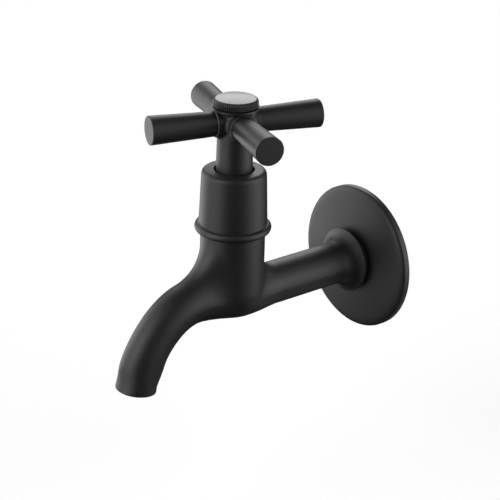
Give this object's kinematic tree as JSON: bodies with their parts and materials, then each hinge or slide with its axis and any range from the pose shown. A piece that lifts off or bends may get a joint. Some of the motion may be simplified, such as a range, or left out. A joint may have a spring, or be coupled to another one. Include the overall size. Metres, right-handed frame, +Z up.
{
  "type": "bib tap",
  "caption": "Wall-mounted bib tap with a threaded inlet, round wall flange, curved spout and quarter-turn cross handle.",
  "frame": {"origin": "on the axis of the inlet thread, in the plane of the wall face that the flange covers", "axes": "+Y along the inlet axis into the wall, +Z up along the valve axis, +X to the right of someone facing the wall"},
  "size_m": [0.0742, 0.146, 0.1214],
  "materials": {
    "black_coat": "satin black coat on brass",
    "brass": "machined",
    "rubber": "moulded",
    "ceramic": "lapped",
    "steel": "plain stainless",
    "grey_plastic": "moulded",
    "white_plastic": "moulded"
  },
  "bodies": {
    "tap": {"body": "black_coat", "flow_straightener": "grey_plastic", "wall_flange": "black_coat", "headwork_housing": "brass", "housing_gasket": "rubber", "headwork_cover": "black_coat", "seat_seal": "rubber", "fixed_disc": "ceramic", "thrust_washer": "white_plastic"},
    "handle": {"turning_disc": "ceramic", "spindle": "brass", "spindle_rings": "rubber", "spindle_clip": "steel", "neck_sleeve": "black_coat", "handle_hub": "black_coat", "arm_left": "black_coat", "arm_front": "black_coat", "arm_right": "black_coat", "arm_back": "black_coat", "screw_washer": "steel", "handle_screw": "steel", "cap_ring": "rubber", "index_cap": "black_coat"}
  },
  "joints": [
    {"name": "handle_turn", "type": "hinge", "parent": "tap", "child": "handle", "pos_m": [0, -0.0734, 0.0778], "axis": [0, 0, 1], "range_deg": [0, 90]}
  ]
}
